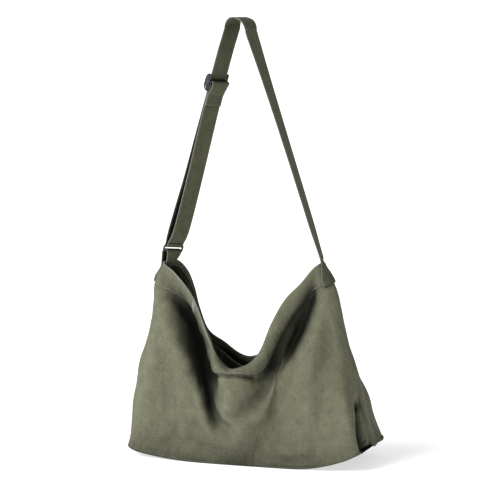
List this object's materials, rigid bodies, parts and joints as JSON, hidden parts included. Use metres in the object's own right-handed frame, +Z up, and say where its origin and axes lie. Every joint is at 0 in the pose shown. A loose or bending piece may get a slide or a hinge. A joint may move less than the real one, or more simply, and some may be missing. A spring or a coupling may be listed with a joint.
{
  "type": "hobo bag",
  "caption": "Canvas hobo shoulder bag: slouching open mouth between two raised corners, boxed base, and a long flat shoulder strap with a slider and a ring.",
  "frame": {"origin": "on the surface that the bag stands on, under the middle of its box", "axes": "+Z up, -Y towards the front of the bag, +X to the right seen from the front"},
  "size_m": [0.45, 0.174, 0.836],
  "materials": {
    "canvas": "matte",
    "strap_canvas": "matte",
    "binding": "matte",
    "thread": "satin",
    "gunmetal": "polished"
  },
  "bodies": {
    "bag": {"front_panel": "canvas", "back_panel": "canvas", "base_panel": "canvas", "mouth_band_front": "canvas", "mouth_band_back": "canvas", "side_seam_binding_left": "binding", "side_seam_binding_right": "binding", "base_seam_binding": "binding", "inner_pocket": "canvas", "strap_sewn_end": "strap_canvas", "strap_end_bartack": "thread", "ring_tab_outer_leg": "strap_canvas", "ring_tab_inner_leg": "strap_canvas", "ring_tab_bartack": "thread"},
    "strap": {"ring_tab_loop": "strap_canvas", "strap_ring_fold": "strap_canvas", "strap_left_limb": "strap_canvas", "strap_inner_run": "strap_canvas", "strap_peak": "strap_canvas", "strap_right_limb": "strap_canvas"},
    "ring": {"ring": "gunmetal"},
    "slider": {"slider": "gunmetal", "strap_slider_fold": "strap_canvas", "slider_fold_stitch": "thread"}
  },
  "joints": [
    {"name": "strap_swing", "type": "hinge", "parent": "bag", "child": "strap", "pos_m": [-0.165, 0, 0.36], "axis": [0.9986, 0, 0.0533], "range_deg": [-60, 60]},
    {"name": "ring_tilt", "type": "hinge", "parent": "strap", "child": "ring", "pos_m": [-0.1567, 0.00123, 0.39192], "axis": [-0.5519, -0.8154, 0.1748], "range_deg": [-12, 12]},
    {"name": "slider_travel", "type": "slide", "parent": "strap", "child": "slider", "axis": [0.2514, 0.0371, 0.9672], "range_m": [-0.17, 0.06]}
  ]
}
